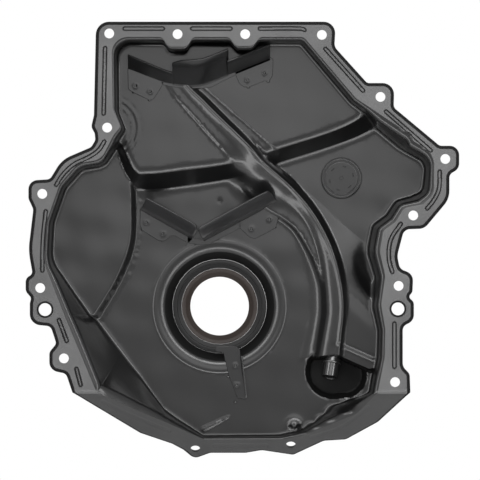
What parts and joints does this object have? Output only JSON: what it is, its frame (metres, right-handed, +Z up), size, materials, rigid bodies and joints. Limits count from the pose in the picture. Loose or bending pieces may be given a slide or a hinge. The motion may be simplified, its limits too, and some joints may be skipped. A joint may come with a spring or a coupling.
{
  "type": "timing cover",
  "caption": "Pressed-steel lower timing cover with angled sump flange, crankshaft seal, welded oil baffles, inspection plug and dipstick guide tube.",
  "frame": {"origin": "on the crankshaft axis, in the middle of the running land of the crankshaft seal's lip", "axes": "-Y is the crankshaft axis towards the engine, the side the sealing flange faces; +Y points away from the engine; +Z is up in the engine; +X is to the right when the inside is seen from the engine"},
  "size_m": [0.311, 0.0668, 0.3129],
  "materials": {
    "cover_paint": "gloss",
    "seal_case_rubber": "satin",
    "seal_lip_rubber": "satin",
    "baffle_paint": "gloss",
    "plug_steel": "satin",
    "tube_paint": "gloss"
  },
  "bodies": {
    "root": {"cover_shell": "cover_paint", "seal_case": "seal_case_rubber", "seal_lip": "seal_lip_rubber", "upper_oil_baffle": "baffle_paint", "lower_oil_baffle": "baffle_paint", "oil_drip_tab": "baffle_paint", "inspection_plug": "plug_steel", "dipstick_guide_tube": "tube_paint"}
  },
  "joints": []
}
